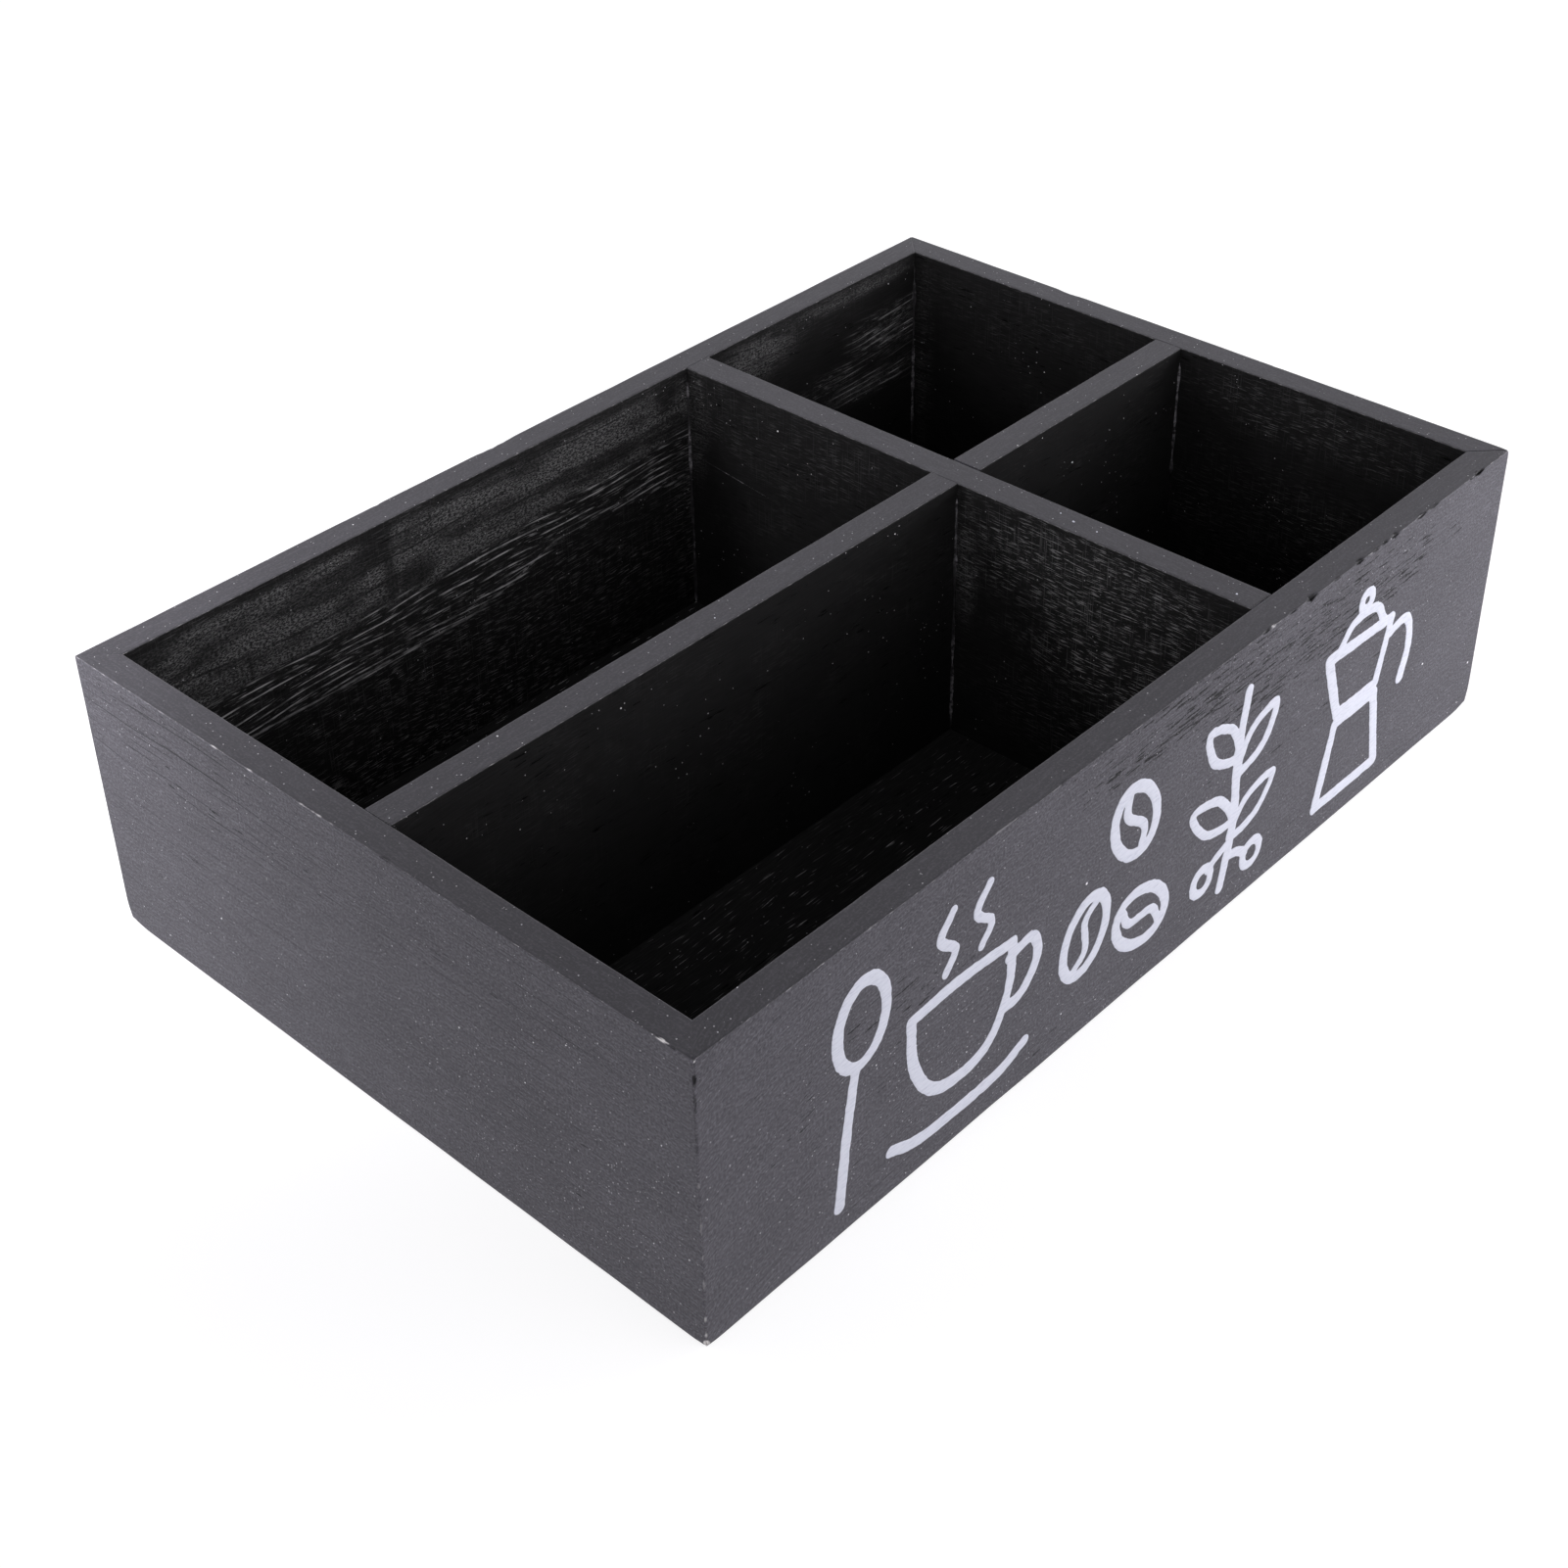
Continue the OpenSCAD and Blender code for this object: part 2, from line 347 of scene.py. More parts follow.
class Board:
    """A board as a section swept along u, with v from its outer face inwards and w up."""

    def __init__(self, name, length, origin, turn, seed):
        self.name, self.length, self.seed = name, length, seed
        self.origin = np.array(origin)
        self.along = np.array([math.cos(turn), math.sin(turn), 0])
        self.inward = np.array([-math.sin(turn), math.cos(turn), 0])

    def world(self, u, v, w):
        up = np.array([0, 0, 1])
        return self.origin + u[:, None] * self.along + v[:, None] * self.inward + w[:, None] * up

    def sweep(self, section, stations, shape):
        """Builds the mesh. shape() turns u, v and w into worn ones and says how bare the wood is."""
        across, up, run, finish = section
        count, rows = len(across), len(stations)
        share = np.repeat(stations, count)
        v, w = np.tile(across, rows), np.tile(up, rows)
        u = self.plan(share, v)
        edge = self.edge_distance(u, v, w)
        rise = self.grain_shift(u, w)
        grain = np.stack([u, np.tile(run, rows) - rise, np.full(len(u), self.seed)], axis=1) / MM
        u, v, w, bare = shape(u, v, w)
        points = self.world(u, v, w)
        steps = np.arange(count)
        after = (steps + 1) % count
        faces = []
        for row in range(rows - 1):
            low, high = row * count, (row + 1) * count
            faces += zip((low + steps).tolist(), (high + steps).tolist(),
                         (high + after).tolist(), (low + after).tolist())
        faces.append(tuple(range(count)))
        faces.append(tuple(range(rows * count - 1, (rows - 1) * count - 1, -1)))
        looks = np.concatenate([np.tile(finish, rows - 1), [OUTER, OUTER]])
        piece = add_mesh(self.name, points, faces)
        piece.data.polygons.foreach_set("material_index", looks.astype(np.int32))
        add_attribute(piece, "grain", grain)
        add_attribute(piece, "edge", edge / MM)
        add_attribute(piece, "bare", bare)
        add_attribute(piece, "zones", self.zones(points))
        return piece

    def zones(self, points):
        """The amounts that ZONES gives at each point."""
        zones = np.zeros((len(points), 3))
        for place, reach, amounts in ZONES.get(self.name, ()):
            away = (points / MM - np.array(place)) / np.array(reach)
            bell = np.exp(-(away * away).sum(axis=1) ** 2)
            zones = np.maximum(zones, bell[:, None] * np.array(amounts))
        if self.name == "back_wall_board":
            zones = np.maximum(zones, sheen_and_glint_bands(points))
        return zones

    def grain_shift(self, u, w):
        """How far the grain lines rise towards an end of the board, where they sweep round."""
        if self.name != "front_wall_board":
            return 0
        return -SWEEP * SWEEP_REACH * np.exp(-(u + self.length / 2) / SWEEP_REACH)


class Wall(Board):
    """A wall with mitred ends and a rebate for the base panel."""

    def plan(self, share, v):
        return share * (self.length / 2 - v)

    def edge_distance(self, u, v, w):
        """Distance from the nearest edge that shows."""
        end = np.maximum(self.length / 2 - np.abs(u), 0)
        faces = np.sort(np.stack([v, WALL - v, HEIGHT - w, w, end]), axis=0)
        return faces[:2].max(axis=0)

    def wear(self, u, v, w):
        """Eases the edges, cuts the knocks and opens the mitres a little."""
        side = np.where(u < 0, -1, 1)
        place = self.world(u, v, w)
        end = self.length / 2 - np.abs(u)
        radius = EASE * (1 + 0.3 * smooth_noise(place, 11 * MM, 3))
        top = HEIGHT - w
        radius = corner_radius(place, radius)
        v, end, top = eased(radius, v, end, top)
        foot = corner_radius(place, FOOT * (1 + 0.15 * smooth_noise(place, 14 * MM, 4)))
        v, low = eased(foot, v, HEIGHT - top)
        knock = corner_radius(place, 0.0) + EASE
        v, end, low = eased(knock, v, end, low)
        top = HEIGHT - low
        inner, top = eased(radius, WALL - v, top)
        v = np.where(inner > WALL - v, WALL - inner, v)
        low = HEIGHT - top
        (v, end, nearest), bare = chipped(place, [v, end, np.minimum(top, low)])
        w = np.where(top < low, HEIGHT - nearest, nearest)
        hollow = 0.05 * MM * (smooth_noise(place, 38 * MM, 5 + self.seed) - 1)
        calm = np.clip(self.edge_distance(u, v, w) / (4 * MM), 0, 1)
        v = np.where(v < WALL / 2, v - hollow * calm, v)
        w = w - self.groove(place, end, v, w)
        return side * (self.length / 2 - end), v, w, bare

    def groove(self, place, end, v, w):
        """How far the rim dips at the mitres, most at the box's right end."""
        open_end = np.where(place[:, 0] > 0, MITRE_GROOVE, 0.2 * MITRE_GROOVE)
        dip = open_end * np.exp(-(((end - v) / (0.2 * MM)) ** 2))
        return np.where(w > HEIGHT - EASE, dip, 0)

    def build(self):
        corners = [(0, 0), (0, HEIGHT), (WALL, HEIGHT), (WALL, PANEL_TOP),
                   (WALL - REBATE, PANEL_TOP), (WALL - REBATE, 0)]
        section = outline(corners, [OUTER, RIM, INNER, None, None, OUTER])
        stations = graded(self.length) / (self.length / 2) - 1
        return self.sweep(section, stations, self.wear)


class Divider(Board):
    """A divider that stands on the base panel between two boards."""

    def __init__(self, name, length, origin, turn, seed, thickness):
        super().__init__(name, length, origin, turn, seed)
        self.thickness = thickness

    def plan(self, share, v):
        return share * self.length

    def edge_distance(self, u, v, w):
        return np.maximum(HEIGHT - w, np.minimum(v, self.thickness - v))

    def wear(self, u, v, w):
        place = self.world(u, v, w)
        radius = EASE * (1 + 0.3 * smooth_noise(place, 9 * MM, 6))
        near, top = eased(radius, v, HEIGHT - w)
        far, top = eased(radius, self.thickness - near, top)
        v = self.thickness - far
        return u, v, HEIGHT - top, np.zeros(len(u))

    def build(self):
        corners = [(0, PANEL_TOP), (0, HEIGHT), (self.thickness, HEIGHT), (self.thickness, PANEL_TOP)]
        section = outline(corners, [INNER, RIM, INNER, None])
        stations = graded(self.length) / self.length
        return self.sweep(section, stations, self.wear)


def add_mesh(name, points, faces, smooth=40):
    """A mesh object that is smooth but for edges sharper than the given angle."""
    mesh = bpy.data.meshes.new(name)
    mesh.from_pydata([tuple(point) for point in points], [], faces)
    mesh.polygons.foreach_set("use_smooth", [True] * len(mesh.polygons))
    mesh.set_sharp_from_angle(angle=math.radians(smooth))
    piece = bpy.data.objects.new(name, mesh)
    bpy.context.scene.collection.objects.link(piece)
    return piece


def add_attribute(piece, name, values):
    """Stores a number or a vector at each point, for the materials."""
    kind, field = ("FLOAT_VECTOR", "vector") if values.ndim == 2 else ("FLOAT", "value")
    stored = piece.data.attributes.new(name, kind, "POINT")
    stored.data.foreach_set(field, values.astype(np.float32).ravel())


def place_piece(piece, replaced=()):
    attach(piece, BODY)
    if replaced:
        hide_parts(*replaced)


class Finish:
    """A material's node tree, with short calls for the nodes that the finishes share."""

    def __init__(self, name):
        self.material = bpy.data.materials.new(name)
        self.material.use_nodes = True
        self.nodes = self.material.node_tree.nodes
        self.links = self.material.node_tree.links
        self.shader = self.nodes["Principled BSDF"]

    def node(self, kind, inputs, **settings):
        made = self.nodes.new("ShaderNode" + kind)
        for key, value in settings.items():
            setattr(made, key, value)
        for key, value in inputs.items():
            self.put(made.inputs[key], value)
        return made

    def put(self, socket, value):
        if isinstance(value, bpy.types.NodeSocket):
            self.links.new(value, socket)
        else:
            socket.default_value = value

    def math(self, operation, *values):
        return self.node("Math", dict(enumerate(values)), operation=operation).outputs[0]

    def span(self, value, low, high, to_low=0.0, to_high=1.0):
        """value taken from the range low to high into the range to_low to to_high."""
        inputs = {"Value": value, "From Min": low, "From Max": high, "To Min": to_low, "To Max": to_high}
        return self.node("MapRange", inputs).outputs[0]

    def mix(self, share, first, second):
        made = self.node("Mix", {0: share, 6: first, 7: second}, data_type="RGBA")
        return made.outputs[2]

    def scaled(self, place, along, across, depth=1.0):
        inputs = {0: place, 1: (along, across, depth)}
        return self.node("VectorMath", inputs, operation="MULTIPLY").outputs[0]

    def noise(self, place, detail=2.0, rough=0.5):
        inputs = {"Vector": place, "Scale": 1.0, "Detail": detail, "Roughness": rough}
        return self.node("TexNoise", inputs).outputs[0]

    def specks(self, place, size, share):
        """1 on small round specks, one in each of that share of the cells."""
        cells = self.node("TexVoronoi", {"Vector": place, "Scale": 1.0})
        chosen = self.math("LESS_THAN", self.split(cells.outputs["Color"])[0], share)
        radius = self.span(self.split(cells.outputs["Color"])[1], 0.0, 1.0, 0.35 * size, size)
        dot = self.math("LESS_THAN", cells.outputs["Distance"], radius)
        return self.math("MULTIPLY", chosen, dot)

    def split(self, vector):
        return self.node("SeparateXYZ", {0: vector}).outputs

    def attribute(self, name, output):
        return self.node("Attribute", {}, attribute_name=name).outputs[output]

    def grain(self):
        """Place on the unrolled board in millimetres: along the grain, across it, and the board."""
        return self.attribute("grain", "Vector")

    def set(self, **sockets):
        for name, value in sockets.items():
            self.put(self.shader.inputs[name.replace("_", " ")], value)


def grey(value, tint=(1.025, 0.99, 1.1)):
    return tuple(value * part for part in tint) + (1.0,)


def plain(value):
    """The neutral grey of the inner faces."""
    return grey(value, (1.0, 0.99, 0.97))


BARE_WOOD = (0.86, 0.84, 0.82, 1.0)
DUST = (0.9, 0.89, 0.9, 1.0)


def bend_grain(finish, place, swing):
    """The place with its grain lines bent up and down by up to about the swing."""
    drift = finish.noise(finish.scaled(place, 0.012, 0.03), 2)
    warp = finish.math("MULTIPLY", finish.math("SUBTRACT", drift, 0.5), 2.0 * swing)
    lifted = finish.node("CombineXYZ", {1: warp}).outputs[0]
    return finish.node("VectorMath", {0: place, 1: lifted}, operation="ADD").outputs[0]


def strands(finish, place, pitch, thick, length, wander=2.0):
    """1 on broken lines along the grain: their pitch, thickness and length are in millimetres."""
    drift = finish.noise(finish.scaled(place, 0.3 / length, 0.08 / pitch), 2)
    phase = finish.math("MULTIPLY_ADD", finish.split(place)[1], 1 / pitch,
                        finish.math("MULTIPLY", drift, wander))
    off = finish.math("ABSOLUTE", finish.math("SUBTRACT", finish.math("FRACT", phase), 0.5))
    line = finish.span(off, 0.7 * thick / pitch, 0.3 * thick / pitch)
    broken = finish.noise(finish.scaled(place, 1 / length, 0.7 / pitch), 1, 0.6)
    return finish.math("MULTIPLY", line, finish.span(broken, 0.46, 0.56))


def wood_base(finish, place, base, pore_level, fibre_contrast, swing):
    """The colour and the relief of stained, open-pored wood, and the place bent along its grain."""
    curved = bend_grain(finish, place, swing)
    fibres = finish.noise(finish.scaled(curved, 0.1, 2.6), 3, 0.7)
    clouds = finish.noise(finish.scaled(place, 0.03, 0.05), 3)
    clusters = finish.noise(finish.scaled(curved, 0.014, 0.11), 2)
    limit = finish.math("ADD", pore_level, finish.span(clusters, 0.4, 0.58, 0.09, 0.0))
    pore_noise = finish.noise(finish.scaled(curved, 0.13, 1.25), 2, 0.6)
    pores = finish.span(finish.math("SUBTRACT", pore_noise, limit), 0.0, 0.03)
    tone = finish.span(fibres, 0.3, 0.7, 1 - fibre_contrast, 1 + fibre_contrast)
    tone = finish.math("MULTIPLY", tone, finish.span(clouds, 0.35, 0.65, 0.93, 1.07))
    # Near-black pores: painted shade in their cavities.
    tone = finish.math("MULTIPLY", tone, finish.span(pores, 0.0, 1.0, 1.0, 0.07))
    stain = finish.node("VectorMath", {0: base[:3], 3: tone}, operation="SCALE").outputs[0]
    relief = finish.math("SUBTRACT", finish.math("MULTIPLY", fibres, 0.5), pores)
    return stain, relief, fibres, curved


def add_dust(finish, colour, place, amount):
    """Bright specks, few of them large, and a finer scatter of faint ones."""
    lumps = finish.specks(finish.scaled(place, 0.3, 0.3), 0.12, 0.012)
    dots = finish.specks(finish.scaled(place, 0.5, 0.5), 0.12, finish.math("MULTIPLY", amount, 0.06))
    colour = finish.mix(finish.math("MAXIMUM", dots, lumps), colour, DUST)
    fine = finish.specks(finish.scaled(place, 1.4, 1.4), 0.26, finish.math("MULTIPLY", amount, 0.17))
    return finish.mix(finish.math("MULTIPLY", fine, 0.45), colour, DUST)


def add_edge_wear_and_highlight(finish, colour, place, strength, painted_highlight):
    """Stain rubbed off the edges, more in spots, a painted highlight of the given level all along the edges, and
    pale wood or dark stain in the chips.
    """
    scuffs = finish.noise(finish.scaled(place, 0.4, 2.0), 3, 0.7)
    edge = finish.span(finish.attribute("edge", "Fac"), 0.22, 0.08)
    # The lowest level of this mask paints a highlight all along the edges; above it the wear is real.
    worn = finish.math("MULTIPLY", edge, finish.span(scuffs, 0.53, 0.66, painted_highlight, 1.0))
    colour = finish.mix(finish.math("MULTIPLY", worn, strength), colour, BARE_WOOD)
    bare = finish.attribute("bare", "Fac")
    colour = finish.mix(finish.span(bare, -0.1, -0.9), colour, grey(0.003))
    chalk = finish.noise(finish.scaled(place, 1.2, 1.6), 2)
    fresh = finish.math("MULTIPLY", finish.math("MAXIMUM", bare, 0.0), finish.span(chalk, 0.32, 0.45, 0.3, 1.0))
    return finish.mix(fresh, colour, BARE_WOOD)


def close_finish(finish, colour, relief, fibres, rough, gloss, depth=0.08):
    bump = finish.node("Bump", {"Height": relief, "Strength": 0.7, "Distance": depth * MM})
    roughness = finish.span(fibres, 0.3, 0.7, rough - 0.06, rough + 0.08)
    finish.set(Base_Color=colour, Roughness=roughness, Normal=bump.outputs[0], Specular_IOR_Level=gloss)
    return finish.material


def outside_stain_with_painted_sheen(name, base, rim=False):
    """Satin black stain on the faces that show from outside; its charcoal base colour is painted sheen over the
    near-black stain of the inside, and the rims get a darker painted copy.
    """
    finish = Finish(name)
    place = finish.grain()
    pores, lines, pale_speckle = (0.1, 0.1, 0.3) if rim else finish.split(finish.attribute("zones", "Vector"))
    pore_level = 0.75 if rim else finish.span(pores, 0.0, 1.0, 0.74, 0.5)
    depth = 0.4 if rim else 1.0
    colour, relief, fibres, curved = wood_base(finish, place, grey(base), pore_level, 0.22 * depth, 3.0)
    ridges = finish.noise(finish.scaled(curved, 0.2, 1.4), 2, 0.6)
    colour = finish.mix(finish.span(ridges, 0.52, 0.64, 0.0, 0.16 * depth), colour, grey(0.25))
    grit = finish.noise(finish.scaled(place, 1.5, 1.9), 1)
    colour = finish.mix(finish.span(grit, 0.53, 0.64, 0.0, 0.17 * depth), colour, grey(0.3))
    colour = finish.mix(finish.span(grit, 0.44, 0.34, 0.0, 0.45 * depth), colour, grey(0.03))
    marks = finish.math("MAXIMUM", strands(finish, curved, 2.4, 0.24, 14.0, 1.0),
                        strands(finish, curved, 5.9, 0.34, 40.0, 1.5))
    marks = finish.math("MULTIPLY", marks, lines)
    colour = finish.mix(finish.math("MULTIPLY", marks, 0.65), colour, grey(0.004))
    relief = finish.math("SUBTRACT", relief, marks)
    colour = add_dust(finish, colour, place, finish.math("ADD", pale_speckle, 0.12))
    colour = add_edge_wear_and_highlight(finish, colour, place, 0.35 if rim else 0.3, 0.12 if rim else 0.0)
    return close_finish(finish, colour, relief, fibres, 0.45 if rim else 0.5, 0.3 if rim else 0.09)


def inside_stain_with_painted_sheen(name):
    """Near-black stain, grey in zones where painted sheen lies over dry, patchy stain, with light lines of
    painted glints along the grain and brush hatching.
    """
    finish = Finish(name)
    place = finish.grain()
    colour, relief, fibres, curved = wood_base(finish, place, plain(0.0105), 0.62, 0.4, 5.0)
    haze_and_painted_sheen, painted_glints, hatch = finish.split(finish.attribute("zones", "Vector"))
    stipple = finish.noise(finish.scaled(place, 1.1, 2.3), 3, 0.8)
    blots = finish.noise(finish.scaled(curved, 0.03, 0.16), 3, 0.6)
    cuts = strands(finish, curved, 6.0, 0.6, 40.0)
    cloud = finish.math("MULTIPLY", finish.span(stipple, 0.48, 0.56, 0.03, 1.0),
                        finish.span(blots, 0.4, 0.54, 0.22, 1.0))
    cloud = finish.math("MULTIPLY", cloud, finish.span(cuts, 0.0, 1.0, 1.0, 0.1))
    # Grey in the first zone amount: painted sheen over dry, patchy stain.
    colour = finish.mix(finish.math("MULTIPLY", haze_and_painted_sheen, cloud), colour, plain(0.14))
    # Light lines along the grain in the second zone amount: painted glints.
    long_lines = strands(finish, curved, 2.1, 0.38, 18.0, 1.5)
    short_lines = finish.span(finish.noise(finish.scaled(curved, 0.16, 2.6), 2, 0.6), 0.6, 0.64, 0.0, 0.5)
    broken = finish.span(finish.noise(finish.scaled(place, 0.2, 0.6), 2), 0.4, 0.55, 0.3, 1.0)
    last_line = finish.math("MULTIPLY", finish.span(painted_glints, 1.4, 1.7), finish.span(blots, 0.4, 0.55, 0.2, 0.6))
    lines = finish.math("MAXIMUM", finish.math("MAXIMUM", long_lines, short_lines), last_line)
    lines = finish.math("MULTIPLY", lines, broken)
    colour = finish.mix(finish.math("MULTIPLY", finish.math("MINIMUM", painted_glints, 1.0), lines), colour, plain(0.42))
    # Pale stipple in the same zones: painted glints too.
    pale_speckle = finish.math("MULTIPLY", finish.span(stipple, 0.56, 0.64), 0.12)
    colour = finish.mix(finish.math("MULTIPLY", painted_glints, pale_speckle), colour, plain(0.16))
    patches = finish.noise(finish.scaled(place, 0.05, 0.06), 2)
    hatch = finish.math("ADD", hatch, finish.span(patches, 0.45, 0.62, 0.02, 0.13))
    dashes = finish.noise(finish.scaled(curved, 0.22, 3.2), 2, 0.6)
    dashes = finish.math("MULTIPLY", finish.span(dashes, 0.57, 0.64), finish.span(hatch, 0.0, 0.6, 0.3, 1.0))
    scratches = finish.noise(finish.scaled(place, 3.2, 0.07), 1)
    crossed = finish.math("MAXIMUM", dashes, finish.span(scratches, 0.63, 0.68, 0.0, 0.22))
    colour = finish.mix(finish.math("MULTIPLY", hatch, crossed), colour, plain(0.27))
    crowd = finish.span(finish.noise(finish.scaled(place, 0.06, 0.06), 1), 0.52, 0.66, 0.02, 0.5)
    colour = add_dust(finish, colour, place, crowd)
    colour = add_edge_wear_and_highlight(finish, colour, place, 0.35, 0.12)
    return close_finish(finish, colour, relief, fibres, 0.55, 0.08, 0.12)


def panel_stain():
    """The base panel's thin black stain, with its grain along the box."""
    finish = Finish("black_stain_panel")
    place = finish.scaled(finish.node("TexCoord", {}).outputs["Object"], 1 / MM, 1 / MM, 1 / MM)
    colour, relief, fibres, curved = wood_base(finish, place, plain(0.027), 0.62, 0.4, 5.0)
    dashes = finish.noise(finish.scaled(curved, 0.13, 3.0), 1)
    zones = finish.noise(finish.scaled(place, 0.03, 0.05), 2)
    away = finish.span(finish.math("ABSOLUTE", finish.split(place)[1]), 6.0, 26.0, 0.2, 1.0)
    spread = finish.math("MULTIPLY", finish.span(zones, 0.42, 0.56, 0.15, 1.0), away)
    # Bright white dashes along the grain: painted glints, fewer within about 26 mm of the middle line where the
    # dividers stand.
    light = finish.math("MULTIPLY", finish.span(dashes, 0.705, 0.715), spread)
    colour = finish.mix(light, colour, plain(1.0))
    faint = finish.math("MULTIPLY", finish.span(dashes, 0.6, 0.68), 0.1)
    colour = finish.mix(faint, colour, plain(0.3))
    colour = add_dust(finish, colour, place, 0.25)
    return close_finish(finish, colour, relief, fibres, 0.6, 0.1)


def white_paint():
    """Matt white paint, thin enough for the grain to show through."""
    finish = Finish("white_paint")
    place = finish.scaled(finish.node("TexCoord", {}).outputs["Object"], 1 / MM, 1 / MM, 1 / MM)
    grain = finish.noise(finish.scaled(place, 0.3, 1.0, 3.0), 3, 0.6)
    mottle = finish.noise(finish.scaled(place, 0.9, 0.9, 0.9), 2)
    colour = finish.mix(finish.span(grain, 0.35, 0.5), (0.56, 0.58, 0.66, 1.0), (0.71, 0.73, 0.80, 1.0))
    colour = finish.mix(finish.span(mottle, 0.3, 0.7, 0.0, 0.25), colour, (0.80, 0.81, 0.86, 1.0))
    bump = finish.node("Bump", {"Height": grain, "Strength": 0.5, "Distance": 0.05 * MM})
    finish.set(Base_Color=colour, Roughness=finish.span(grain, 0.3, 0.7, 0.5, 0.65), Normal=bump.outputs[0])
    return finish.material


def glue():
    """Dried glue with stain over it."""
    finish = Finish("glue")
    place = finish.scaled(finish.node("TexCoord", {}).outputs["Object"], 1 / MM, 1 / MM, 1 / MM)
    mottle = finish.noise(finish.scaled(place, 0.8, 0.8, 0.8), 3, 0.7)
    rubbed = finish.noise(finish.scaled(place, 0.3, 0.3, 0.07), 1)
    light = finish.math("MULTIPLY", finish.span(mottle, 0.4, 0.65), finish.span(rubbed, 0.45, 0.6, 0.1, 1.0))
    colour = finish.mix(light, (0.01, 0.0095, 0.01, 1.0), (0.26, 0.25, 0.26, 1.0))
    finish.set(Base_Color=colour, Roughness=finish.span(mottle, 0.3, 0.7, 0.3, 0.6))
    return finish.material


def steel():
    finish = Finish("steel")
    place = finish.scaled(finish.node("TexCoord", {}).outputs["Object"], 900.0, 900.0, 900.0)
    marks = finish.noise(place, 3)
    finish.set(Base_Color=finish.mix(marks, (0.5, 0.5, 0.5, 1), (0.62, 0.61, 0.6, 1)),
               Roughness=finish.span(marks, 0.3, 0.7, 0.28, 0.45), Metallic=1.0)
    return finish.material


def build_boards():
    """The walls and dividers, each in place of its node."""
    length, width = 2 * box_high[0], 2 * box_high[1]
    walls = [
        Wall("front_wall_board", length, (0, box_low[1], 0), 0, 1),
        Wall("back_wall_board", length, (0, box_high[1], 0), math.pi, 2),
        Wall("left_end_board", width, (box_low[0], 0, 0), -math.pi / 2, 3),
        Wall("right_end_board", width, (box_high[0], 0, 0), math.pi / 2, 4),
    ]
    dividers = [
        Divider("cross_divider_board", cross[1].y - cross[0].y, (cross[1].x, cross[0].y, 0),
                math.pi / 2, 5, cross[1].x - cross[0].x),
        Divider("long_divider_board", long_div[1].x - long_div[0].x, (long_div[0].x, long_div[0].y, 0),
                0, 6, long_div[1].y - long_div[0].y),
        Divider("short_divider_board", short_div[1].x - short_div[0].x,
                (short_div[0].x, short_div[0].y, 0), 0, 7, short_div[1].y - short_div[0].y),
    ]
    nodes = ["front_wall", "back_wall", "left_end_wall", "right_end_wall",
             "cross_divider", "long_divider", "short_divider"]
    finishes = [
        # The outer and rim base colours are painted sheen over the near-black inside stain; the rims' copy is
        # darker.
        outside_stain_with_painted_sheen("black_stain_outside_painted_sheen", 0.087),
        outside_stain_with_painted_sheen("black_stain_rim_painted_sheen", 0.0415, rim=True),
        inside_stain_with_painted_sheen("black_stain_inside_painted_sheen"),
    ]
    for board, node in zip(walls + dividers, nodes):
        piece = board.build()
        for material in finishes:
            piece.data.materials.append(material)
        place_piece(piece, [node])


def curve_through(points, closed=False, steps=10):
    """A smooth line through the points."""
    points = [np.array(point, float) for point in points]
    if closed:
        ring = points[-1:] + points + points[:2]
    else:
        ring = [2 * points[0] - points[1]] + points + [2 * points[-1] - points[-2]]
    line = []
    for before, start, end, after in zip(ring, ring[1:], ring[2:], ring[3:]):
        for t in np.arange(steps) / steps:
            line.append(0.5 * (2 * start + (end - before) * t
                               + (2 * before - 5 * start + 4 * end - after) * t * t
                               + (3 * start - before - 3 * end + after) * t ** 3))
    return np.array(line + [ring[-2]])


def oval(middle, half_wide, half_high, lean=0):
    """A closed oval that leans to the right by the given degrees."""
    angles = np.linspace(0, 2 * math.pi, 33)
    across, up = half_wide * np.cos(angles), half_high * np.sin(angles)
    turn = math.radians(lean)
    return np.stack([middle[0] + across * math.cos(turn) + up * math.sin(turn),
                     middle[1] - across * math.sin(turn) + up * math.cos(turn)], axis=1)


def leaf(root, tip, belly):
    """An almond outline from its root to its tip."""
    root, tip = np.array(root, float), np.array(tip, float)
    side = np.array([root[1] - tip[1], tip[0] - root[0]]) * belly
    return curve_through([root, (root + tip) / 2 + side, tip, (root + tip) / 2 - side], closed=True)


def bean(middle, lean):
    """A coffee bean: an oval with a bent line down its middle."""
    turn = math.radians(lean)
    middle = np.array(middle, float)
    across = np.array([math.cos(turn), -math.sin(turn)])
    up = np.array([math.sin(turn), math.cos(turn)])
    crease = [middle + across * x + up * z for x, z in ((1.2, 9.5), (-1.8, 4), (1.8, -4), (-1.2, -9.5))]
    return [(oval(middle, 7.6, 10.6, lean), STROKE), (curve_through(crease), FINE_STROKE)]


def cup(x):
    """A cup on its saucer, with two wisps of steam."""
    body = curve_through([(x - 17, 46), (x - 16, 33), (x - 10, 22), (x, 19), (x + 10, 22), (x + 16, 33),
                          (x + 17, 46)])
    handle = curve_through([(x + 16, 42), (x + 24, 43), (x + 26, 36), (x + 21, 29), (x + 14, 28)])
    wisps = [curve_through([(x + off, 52), (x + off + 3, 57), (x + off - 2, 62), (x + off + 2, 68)])
             for off in (-6, 6)]
    return [(body, STROKE), (handle, STROKE), (curve_through([(x - 17, 46), (x, 47), (x + 17, 46)]), STROKE),
            (curve_through([(x - 23, 13), (x - 12, 9.5), (x + 12, 9.5), (x + 23, 13)]), STROKE),
            *((wisp, FINE_STROKE) for wisp in wisps)]


